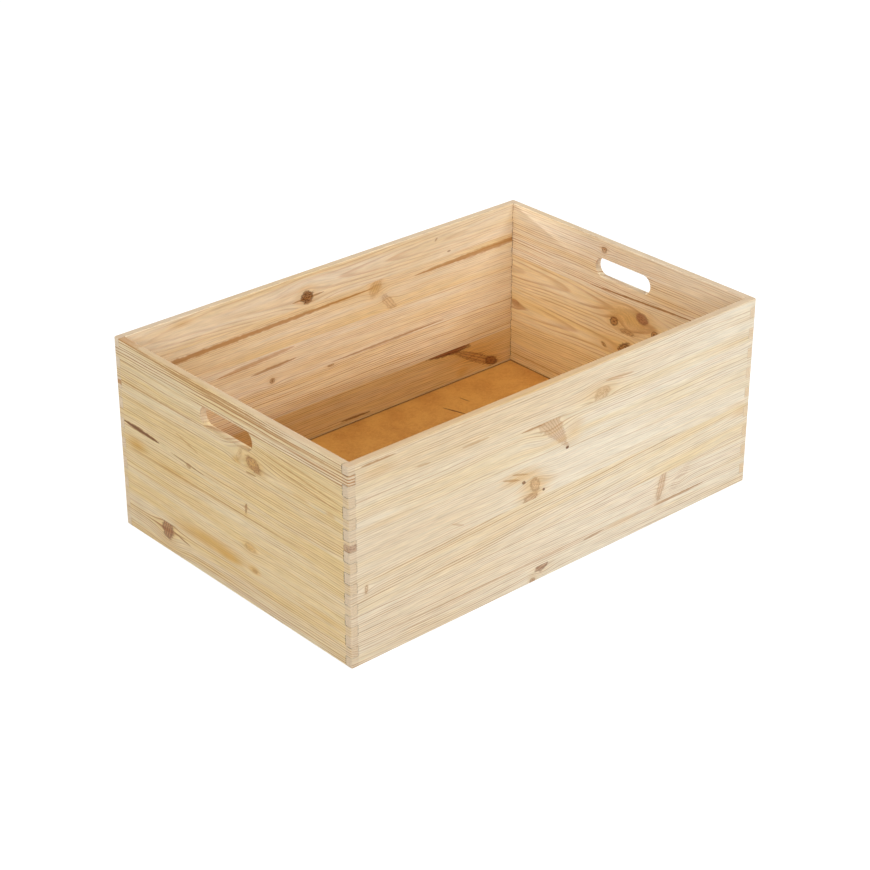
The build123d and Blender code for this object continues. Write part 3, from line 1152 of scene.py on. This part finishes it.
def ground_material():
    """White paper under the box: plain white to the camera, with the box's shadow on it."""
    material, put = new_material("white_paper")
    paper = put("ShaderNodeBsdfDiffuse", {"Color": (PAPER_GREY, PAPER_GREY, PAPER_GREY, 1)})
    glow = put("ShaderNodeEmission", {"Color": WHITE, "Strength": GROUND_GLOW})
    shadow = put("ShaderNodeBsdfDiffuse", {"Color": (SHADOW_GREY, SHADOW_GREY, SHADOW_GREY, 1)})
    lit = put("ShaderNodeAddShader", {0: glow, 1: shadow})
    surface = put("ShaderNodeMixShader", {0: seen_ray(put), 1: paper, 2: lit})
    put("ShaderNodeOutputMaterial", {"Surface": surface})
    return material


# The lamps stand round their aim: angles in degrees, distances and sizes in metres. A lamp with a cone is a
# narrow spot, and its width is that of its bulb. The back one aims at the far corner, just below the rim.
LAMP_AIM = Vector((0, 0, 0.12))
BELOW_RIM = 10  # millimetres
FAR_RIM = Vector((HALF_LENGTH, HALF_WIDTH, RIM_UP - BELOW_RIM)) / MM
Lamp = namedtuple("Lamp", "name azimuth elevation distance width height aim cone", defaults=[LAMP_AIM, 0])
LAMPS = [
    Lamp("key", 16.5, 23, 2.23, 0.6, 0.1),
    Lamp("fill", -38, 18, 6, 3.0, 1.4),
    Lamp("left", -90, 20, 5, 2.4, 1.0),
    Lamp("back", -128, 11.5, 3, 0.06, 0.06, FAR_RIM, 4.4),
    Lamp("rear", 140, 9, 5, 2.4, 0.8),
    Lamp("top", 0, 90, 1.5, 0.8, 0.6),
]

# The camera aims a little to the left of this point and below it, as the photograph is framed
CAMERA_AIM = Vector((0, 0, 0.1))
AIM_LEFT = 0.00647
AIM_DOWN = 0.01174
SENSOR = 36.0  # millimetres
VIEW_END = 50  # metres, well past the edge of the ground


def direction(azimuth, elevation):
    """Unit vector from the box to a place round it: azimuth 0 is the front, 90 degrees the right end."""
    level = math.cos(elevation)
    return Vector((math.sin(azimuth) * level, -math.cos(azimuth) * level, math.sin(elevation)))


def add_lamp(lamp, power):
    """Puts one lamp of the studio in its place and points it at its aim."""
    spot = lamp.aim + lamp.distance * direction(math.radians(lamp.azimuth), math.radians(lamp.elevation))
    bpy.ops.object.select_all(action="DESELECT")
    bpy.ops.object.light_add(type="SPOT" if lamp.cone else "AREA", location=spot)
    light = bpy.context.active_object
    light.name = f"{lamp.name}_light"
    light.rotation_euler = (lamp.aim - spot).to_track_quat("-Z", "Y").to_euler()
    light.data.energy = power
    if lamp.cone:
        light.data.spot_size = math.radians(lamp.cone)
        light.data.spot_blend = 1.0
        light.data.shadow_soft_size = lamp.width / 2
    else:
        light.data.shape = "RECTANGLE"
        light.data.size = lamp.width
        light.data.size_y = lamp.height


class PINEBOX_OT_stage(bpy.types.Operator):
    """Set up the white ground, the soft lights and the camera"""

    bl_idname = "pinebox.stage"
    bl_label = "Stage"

    def execute(self, context):
        scene = context.scene
        look = scene.studio_look
        scene.view_settings.view_transform = "Standard"

        bpy.ops.object.select_all(action="DESELECT")
        bpy.ops.mesh.primitive_plane_add(size=GROUND_SIZE, location=(0, 0, -GROUND_DROP))
        ground = context.active_object
        ground.name = "ground"
        ground.data.materials.append(ground_material())

        world = bpy.data.worlds.new("studio")
        scene.world = world
        world.use_nodes = True
        tree = world.node_tree
        tree.nodes.clear()
        put = partial(add_node, tree)
        room = put("ShaderNodeBackground", {"Color": WHITE, "Strength": look.sky})
        white = put("ShaderNodeBackground", {"Color": WHITE, "Strength": 1.0})
        surface = put("ShaderNodeMixShader", {0: seen_ray(put), 1: room, 2: white})
        put("ShaderNodeOutputWorld", {"Surface": surface})

        for lamp in LAMPS:
            add_lamp(lamp, getattr(look, f"{lamp.name}_power"))

        back = direction(look.azimuth, look.elevation)
        right = Vector((math.cos(look.azimuth), math.sin(look.azimuth), 0))
        above = back.cross(right)
        aim = CAMERA_AIM - AIM_LEFT * right - AIM_DOWN * above
        bpy.ops.object.camera_add(location=aim + back * look.distance)
        camera = context.active_object
        camera.name = "camera"
        camera.rotation_euler = (-back).to_track_quat("-Z", "Y").to_euler()
        camera.data.sensor_width = SENSOR
        camera.data.lens = look.lens
        camera.data.clip_end = VIEW_END
        scene.camera = camera
        return {"FINISHED"}


STEPS = ("front_wall", "left_wall", "back_wall", "right_wall", "floor_panel", "stage")


class PINEBOX_PT_panel(bpy.types.Panel):
    """Lists the steps and the looks of the box"""

    bl_idname = "PINEBOX_PT_panel"
    bl_label = "Pine box"
    bl_space_type = "VIEW_3D"
    bl_region_type = "UI"
    bl_category = "Pine box"

    def draw(self, context):
        for step in STEPS:
            self.layout.operator(f"pinebox.{step}")
        for group in (context.scene.pine_look, context.scene.board_look, context.scene.studio_look):
            for name in group.__annotations__:
                self.layout.prop(group, name)


CLASSES = (
    PineLook,
    BoardLook,
    StudioLook,
    PINEBOX_OT_front_wall,
    PINEBOX_OT_left_wall,
    PINEBOX_OT_back_wall,
    PINEBOX_OT_right_wall,
    PINEBOX_OT_floor_panel,
    PINEBOX_OT_stage,
    PINEBOX_PT_panel,
)


def register():
    for cls in CLASSES:
        bpy.utils.register_class(cls)
    bpy.types.Scene.pine_look = bpy.props.PointerProperty(type=PineLook)
    bpy.types.Scene.board_look = bpy.props.PointerProperty(type=BoardLook)
    bpy.types.Scene.studio_look = bpy.props.PointerProperty(type=StudioLook)


def unregister():
    del bpy.types.Scene.studio_look
    del bpy.types.Scene.board_look
    del bpy.types.Scene.pine_look
    for cls in reversed(CLASSES):
        bpy.utils.unregister_class(cls)


def main():
    register()
    for step in STEPS:
        getattr(bpy.ops.pinebox, step)()


if __name__ == "__main__":
    main()
